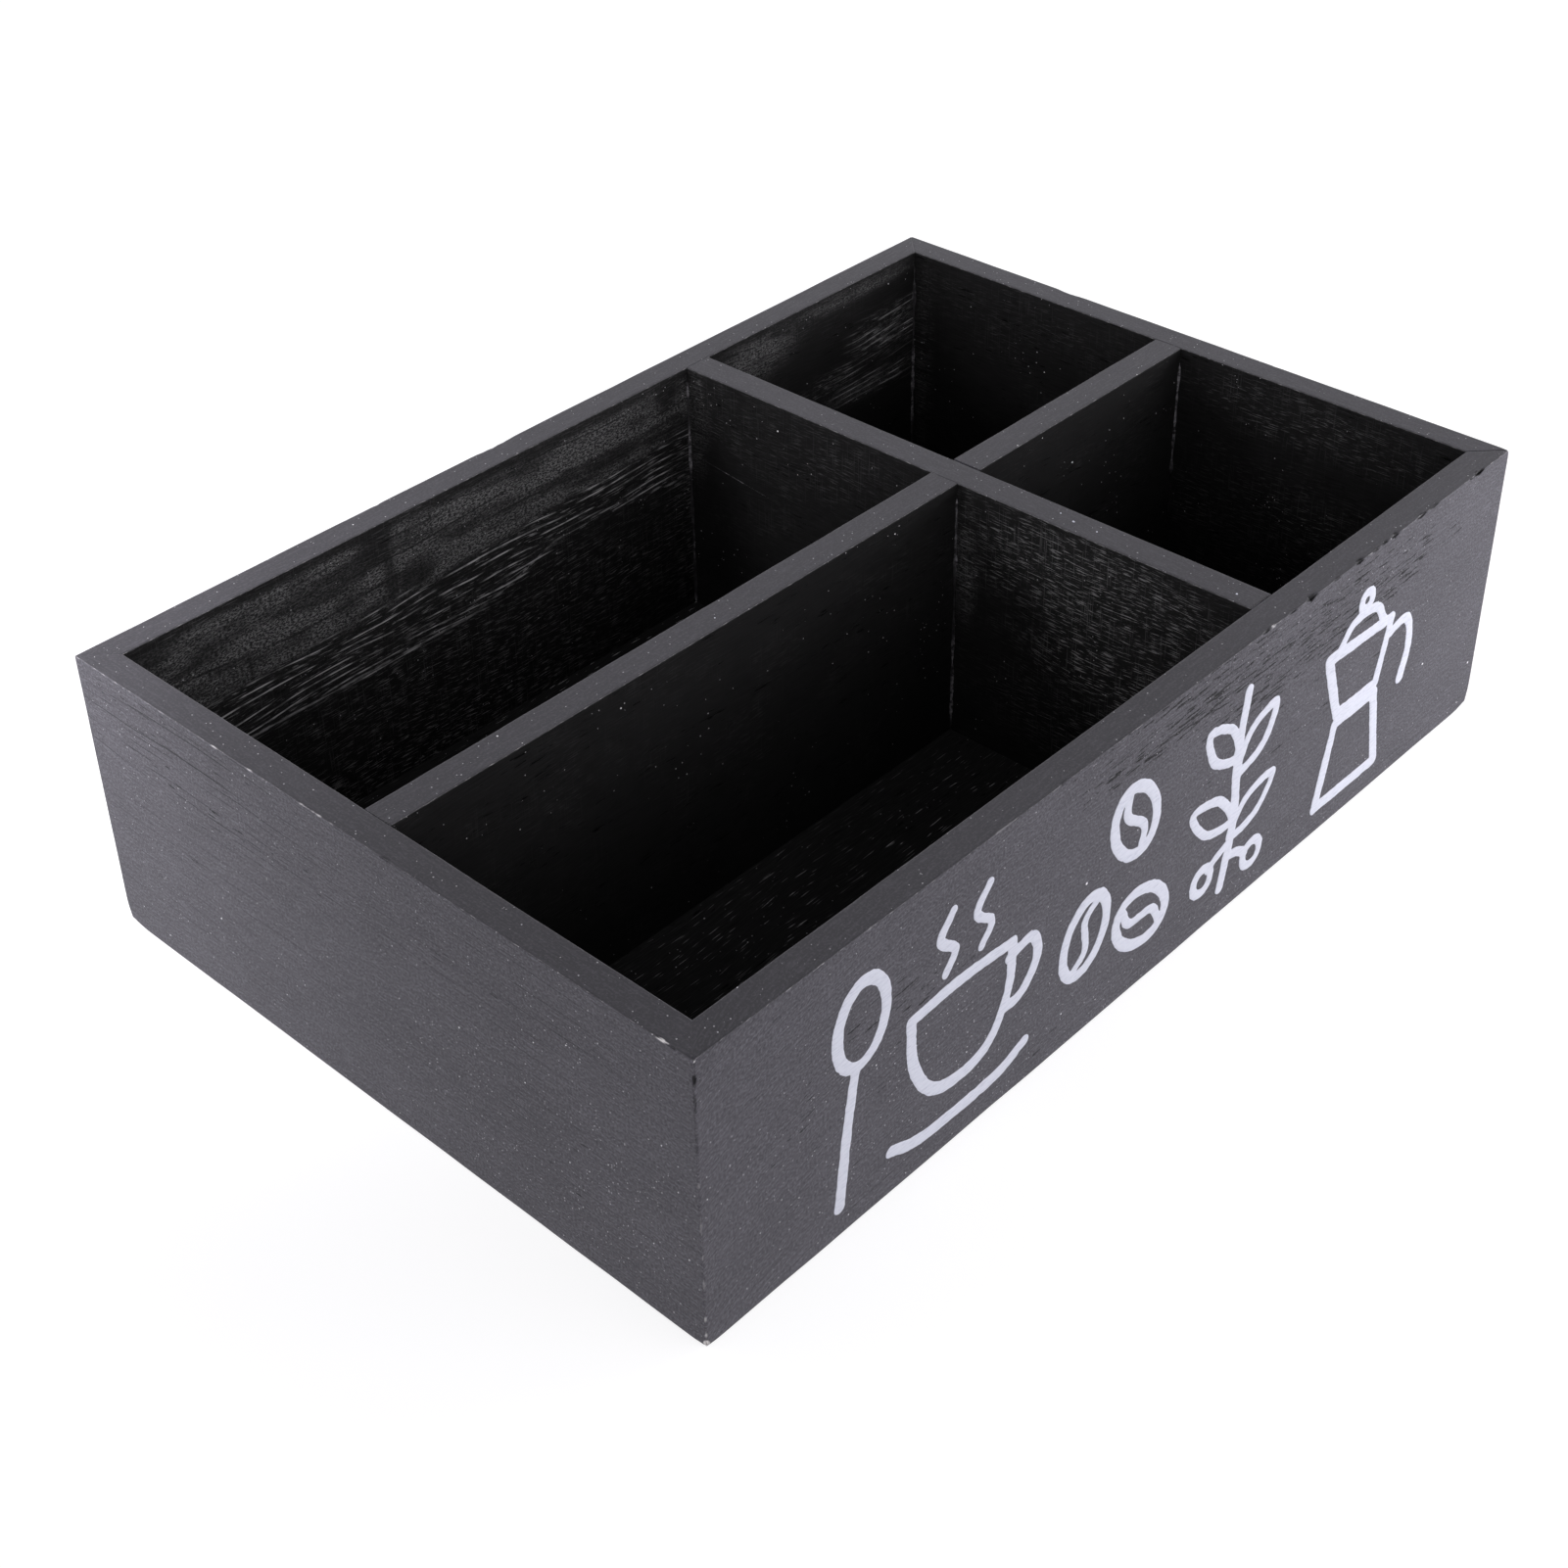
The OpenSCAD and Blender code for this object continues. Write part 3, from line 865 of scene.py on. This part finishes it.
def spoon(x):
    """A long spoon that leans a little."""
    handle = curve_through([(x + 1.5, 45), (x - 1, 30), (x - 3.5, 9)])
    return [(oval((x + 3.5, 56.5), 7.5, 11, 7), STROKE), (handle, STROKE)]


def sprig(x):
    """A stalk with pairs of leaves and berries."""
    stalk = curve_through([(x - 2, 9), (x + 1, 28), (x, 48), (x + 2, 66)])
    leaves = [leaf((x, 24), (x + 17, 34), 0.22), leaf((x, 29), (x - 17, 40), 0.22),
              leaf((x + 1, 43), (x + 15, 56), 0.24), leaf((x, 48), (x - 13, 61), 0.24)]
    berries = [oval((x + 11, 12.5), 3.6, 3.6), oval((x - 10.5, 16.5), 3.6, 3.6)]
    stems = [curve_through([(x - 0.5, 18), (x + 5, 16.5), (x + 8, 14)]),
             curve_through([(x - 0.5, 22), (x - 5, 20.5), (x - 8, 18.5)])]
    return [(stalk, STROKE), *((line, FINE_STROKE) for line in leaves + berries + stems)]


def pot(x):
    """A stove-top pot with a waist, a spout, a lid and a handle."""
    base = curve_through([(x - 14, 9), (x + 14, 9), (x + 9, 33), (x - 9, 33)], closed=True, steps=1)
    top = curve_through([(x - 9, 36), (x + 9, 36), (x + 13, 54), (x - 16, 55.5)], closed=True, steps=1)
    lid = curve_through([(x - 11, 56.5), (x - 6, 61.5), (x + 4, 61.5), (x + 9, 55.5)])
    handle = curve_through([(x + 12, 49), (x + 21, 50), (x + 24, 41), (x + 22, 31)])
    return [(base, STROKE), (top, STROKE), (lid, FINE_STROKE), (handle, STROKE),
            (oval((x - 1, 66), 2.4, 2.4), FINE_STROKE)]


def paint_depth(strokes, xs, zs):
    """How deep inside the painted strokes each point of the grid lies, in millimetres."""
    depth = np.full((len(zs), len(xs)), -9.0)
    places = np.stack([*np.meshgrid(xs, zs), np.zeros_like(depth)], axis=-1).reshape(-1, 3)
    ragged = 0.16 * smooth_noise(places, 1.6, 21) + 0.1 * smooth_noise(places, 0.7, 22)
    swell = (1 + 0.13 * smooth_noise(places, 15.0, 23)).reshape(depth.shape)
    for line, width in strokes:
        for start, end in zip(line, line[1:]):
            reach = width + 1
            i = np.searchsorted(xs, [min(start[0], end[0]) - reach, max(start[0], end[0]) + reach])
            j = np.searchsorted(zs, [min(start[1], end[1]) - reach, max(start[1], end[1]) + reach])
            part = (slice(*j), slice(*i))
            x, z = np.meshgrid(xs[i[0]:i[1]], zs[j[0]:j[1]])
            step = end - start
            along = ((x - start[0]) * step[0] + (z - start[1]) * step[1]) / max(step @ step, 1e-9)
            along = np.clip(along, 0, 1)
            away = np.hypot(x - start[0] - along * step[0], z - start[1] - along * step[1])
            depth[part] = np.maximum(depth[part], width / 2 * swell[part] - away)
    return depth + ragged.reshape(depth.shape)


def covered_cells(depth):
    """Faces over the part of a grid where depth is above 0, and each point's row, column and depth."""
    inside = depth > 0
    places, known, faces = [], {}, []

    def corner(cell):
        if cell not in known:
            known[cell] = len(places)
            places.append((*cell, depth[cell]))
        return known[cell]

    def crossing(first, second):
        key = (min(first, second), max(first, second))
        if key not in known:
            share = np.clip(depth[key[0]] / (depth[key[0]] - depth[key[1]]), 0.12, 0.88)
            known[key] = len(places)
            places.append((*(np.array(key[0]) + share * np.subtract(key[1], key[0])), 0.0))
        return known[key]

    busy = inside[:-1, :-1] | inside[1:, :-1] | inside[:-1, 1:] | inside[1:, 1:]
    for row, column in zip(*(found.tolist() for found in np.nonzero(busy))):
        ring = [(row, column), (row, column + 1), (row + 1, column + 1), (row + 1, column)]
        face = []
        for first, second in zip(ring, ring[1:] + ring[:1]):
            if inside[first]:
                face.append(corner(first))
            if inside[first] != inside[second]:
                face.append(crossing(first, second))
        faces.append(face)
    return faces, np.array(places)


def paint_frieze():
    """White hand-painted kitchen things on the front wall, as a film with rounded edges."""
    strokes = spoon(-106) + cup(-70) + bean((-26, 30), 20) + bean((-9, 53), -25) + bean((-4, 22), -60)
    strokes += sprig(32) + pot(86)
    xs, zs = np.arange(-120, 120, PAINT_GRID), np.arange(4, 76, PAINT_GRID)
    faces, places = covered_cells(paint_depth(strokes, xs, zs))
    x = (xs[0] + places[:, 1] * PAINT_GRID) * MM
    z = (zs[0] + places[:, 0] * PAINT_GRID) * MM
    film = PAINT * np.sqrt(np.clip(places[:, 2] / 0.5, 0.06, 1))
    front = np.stack([x, box_low[1] - film, z], axis=1)
    back = np.stack([x, np.full(len(x), box_low[1] + PAINT_ROOT), z], axis=1)
    count = len(places)
    edges = {}
    for face in faces:
        for pair in zip(face, face[1:] + face[:1]):
            edges[pair] = True
    rims = [(b, a, a + count, b + count) for a, b in edges if (b, a) not in edges]
    closed = faces + [[count + point for point in reversed(face)] for face in faces] + rims
    piece = add_mesh("painted_frieze", np.concatenate([front, back]), closed, 60)
    piece.data.materials.append(white_paint())
    place_piece(piece)


def glue_bead(x, y, to_x, to_y, low, high, seed):
    """A ragged bead in an upright corner at x, y, with the compartment towards to_x and to_y."""
    heights = np.arange(low, high, 0.5 * MM)
    count = 5
    points = []
    for number, height in enumerate(heights):
        place = np.array([[x, y, height]])
        wide = BEAD * (1 + 0.7 * smooth_noise(place, 5 * MM, seed) + 0.3 * smooth_noise(place, MM, seed + 1))[0]
        end = min(number, len(heights) - 1 - number) / 4
        wide *= min(1, 0.25 + end)
        points.append((x - to_x * SUNK, y - to_y * SUNK, height))
        for share in np.linspace(0, 1, count - 1):
            bulge = 0.15 * math.sin(share * math.pi)
            across = wide * (1 - share) * (1 - bulge) - SUNK * share
            along = wide * share * (1 - bulge) - SUNK * (1 - share)
            points.append((x + to_x * across, y + to_y * along, height))
    faces = []
    for row in range(len(heights) - 1):
        for step in range(count):
            low_row, after = row * count, (step + 1) % count
            face = (low_row + step, low_row + after, low_row + count + after, low_row + count + step)
            faces.append(face if to_x * to_y > 0 else face[::-1])
    bottom, top = tuple(range(count)), tuple(range(len(points) - count, len(points)))
    faces += [bottom[::-1], top] if to_x * to_y > 0 else [bottom, top[::-1]]
    return points, faces


def build_glue():
    """Beads in each compartment's upright corners."""
    compartments = {
        "front_left": (-INNER_X, cross[0].x, -INNER_Y, long_div[0].y),
        "back_left": (-INNER_X, cross[0].x, long_div[1].y, INNER_Y),
        "front_right": (cross[1].x, INNER_X, -INNER_Y, short_div[0].y),
        "back_right": (cross[1].x, INNER_X, short_div[1].y, INNER_Y),
    }
    finish = glue()
    for seed, (name, (left, right, front, back)) in enumerate(compartments.items()):
        points, faces = [], []
        for number, (x, y, to_x, to_y) in enumerate([(left, front, 1, 1), (right, front, -1, 1),
                                                     (left, back, 1, -1), (right, back, -1, -1)]):
            if abs(x - cross[1].x) < MM and abs(y) < MM * 10:
                continue
            top = HEIGHT - BEAD_TOP * (1 + number % 2)
            bottom = HEIGHT / 2 if (name, number) == ("front_right", 3) else PANEL_TOP
            bead, sides = glue_bead(x, y, to_x, to_y, bottom, top, 40 + 10 * seed + 2 * number)
            faces += [tuple(len(points) + point for point in side) for side in sides]
            points += bead
        piece = add_mesh("glue_beads_" + name, points, faces, 50)
        piece.data.materials.append(finish)
        place_piece(piece)


def crumbs(name, places, size, finish, seed):
    """Lumps of about the given size on the boards, one at each place."""
    draw = np.random.RandomState(seed)
    ball = bmesh.new()
    bmesh.ops.create_icosphere(ball, subdivisions=2, radius=1)
    shape = np.array([vertex.co[:] for vertex in ball.verts])
    sides = [tuple(vertex.index for vertex in face.verts) for face in ball.faces]
    ball.free()
    points, faces = [], []
    for number, place in enumerate(places):
        radius = size * draw.uniform(0.5, 1.1)
        lump = shape * radius * (1 + 0.3 * smooth_noise(shape + 7 * number, 0.8, seed))[:, None]
        lump[:, 2] *= 0.55
        faces += [tuple(len(points) + point for point in side) for side in sides]
        points += (lump + np.array(place)).tolist()
    piece = add_mesh(name, points, faces, 60)
    piece.data.materials.append(finish)
    place_piece(piece)


def build_crumbs():
    """Crumbs of glue where two boards meet at the rim, and drops of paint on the dividers."""
    draw = np.random.RandomState(5)
    front_end = [(x * MM, -INNER_Y + draw.uniform(0.1, 0.6) * MM, HEIGHT) for x in np.arange(44.6, 52.9, 0.5)]
    left_end = [(-INNER_X + draw.uniform(0.0, 0.5) * MM, y * MM, HEIGHT) for y in np.arange(-5.6, 2, 0.8)]
    run = np.arange(62, 91.5, 0.5)
    on_cross = [(cross[0].x, y * MM, (50 + 0.11 * (y - 62)) * MM) for y in run]
    crumbs("glue_crumbs", front_end + left_end + on_cross, 0.22 * MM, glue(), 11)
    drops = [(x * MM, y * MM, HEIGHT) for x, y in PAINT_DROPS]
    crumbs("paint_drops", drops, 0.36 * MM, white_paint(), 12)


def finish_nodes():
    """The base panel and the fasteners stay as they are and get their materials."""
    metal, stain = steel(), panel_stain()
    for name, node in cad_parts.items():
        if name.endswith(("_pins", "_brads")) or name == "base_panel":
            node.data.materials.clear()
            node.data.materials.append(stain if name == "base_panel" else metal)


def make_stage():
    """A white floor that keeps a soft shadow."""
    finish = Finish("white_floor")
    finish.set(Base_Color=(0.32, 0.32, 0.32, 1.0), Roughness=0.9, Specular_IOR_Level=0.0)
    path = finish.node("LightPath", {})
    seen = finish.math("MAXIMUM", path.outputs["Is Camera Ray"], path.outputs["Is Glossy Ray"])
    seen = finish.math("MAXIMUM", seen, path.outputs["Is Transmission Ray"])
    glow = finish.node("Emission", {"Color": (1, 1, 1, 1), "Strength": 0.78})
    shade = finish.node("BsdfDiffuse", {"Color": (0.42, 0.42, 0.42, 1)})
    bright = finish.node("AddShader", {0: glow.outputs[0], 1: shade.outputs[0]})
    both = finish.node("MixShader", {0: seen, 1: finish.shader.outputs[0], 2: bright.outputs[0]})
    finish.links.new(both.outputs[0], finish.nodes["Material Output"].inputs[0])
    corners = [(-FLOOR, -FLOOR, 0), (FLOOR, -FLOOR, 0), (FLOOR, FLOOR, 0), (-FLOOR, FLOOR, 0)]
    floor = add_mesh("floor", corners, [(0, 1, 2, 3)])
    floor.data.materials.append(finish.material)


def make_world():
    """A pale studio, dimmer overhead than at the sides."""
    world = bpy.data.worlds.new("studio")
    world.use_nodes = True
    nodes, links = world.node_tree.nodes, world.node_tree.links
    place = nodes.new("ShaderNodeTexCoord")
    split = nodes.new("ShaderNodeSeparateXYZ")
    ramp = nodes.new("ShaderNodeMapRange")
    links.new(place.outputs["Generated"], split.inputs[0])
    links.new(split.outputs["Z"], ramp.inputs["Value"])
    ramp.inputs["From Min"].default_value = 0.3
    ramp.inputs["From Max"].default_value = 0.85
    ramp.inputs["To Min"].default_value = 1.55
    ramp.inputs["To Max"].default_value = 0.08
    back = nodes["Background"]
    back.inputs["Color"].default_value = LIGHT_TINT + (1.0,)
    links.new(ramp.outputs[0], back.inputs["Strength"])
    bpy.context.scene.world = world


def add_softbox(name, place, target, size, watts, spread=180):
    lamp = bpy.data.lights.new(name, "AREA")
    lamp.size, lamp.energy, lamp.color = size, watts, LIGHT_TINT
    lamp.spread = math.radians(spread)
    holder = bpy.data.objects.new(name, lamp)
    holder.location = place
    holder.visible_camera = False
    holder.rotation_euler = (Vector(target) - Vector(place)).to_track_quat("-Z", "Y").to_euler()
    bpy.context.scene.collection.objects.link(holder)


def make_camera():
    """The photograph's viewpoint. Its frame is square, and its middle lies off the lens axis."""
    lens = bpy.data.cameras.new("camera")
    lens.sensor_width, lens.lens = 36.0, 56.2902
    lens.shift_x, lens.shift_y = 0.02868, -0.08739
    lens.clip_start, lens.clip_end = 0.01, 50.0
    camera = bpy.data.objects.new("camera", lens)
    camera.location = (-0.37875, -0.33897, 0.39621)
    camera.rotation_euler = [math.radians(angle) for angle in (55.8177, 1.4378, -46.5933)]
    bpy.context.scene.collection.objects.link(camera)
    bpy.context.scene.camera = camera


build_boards()
paint_frieze()
build_glue()
build_crumbs()
finish_nodes()
make_stage()
make_world()
add_softbox("front_softbox", (0.5, -1.6, 0.9), (0, 0, 0.04), 1.2, 4.2)
add_softbox("left_softbox", (-0.27, 0.17, 0.22), (-0.15, 0.13, 0.09), 0.08, 0.1, 60)
add_softbox("left_strip", (-0.21, 0.19, 0.17), (-0.15, 0.12, 0.08), 0.05, 0.038)
add_softbox("right_softbox", (0.34, -0.3, 0.1), (0.15, -0.1, 0.04), 0.2, 0.22, 90)
make_camera()
bpy.context.scene.view_settings.view_transform = "Standard"
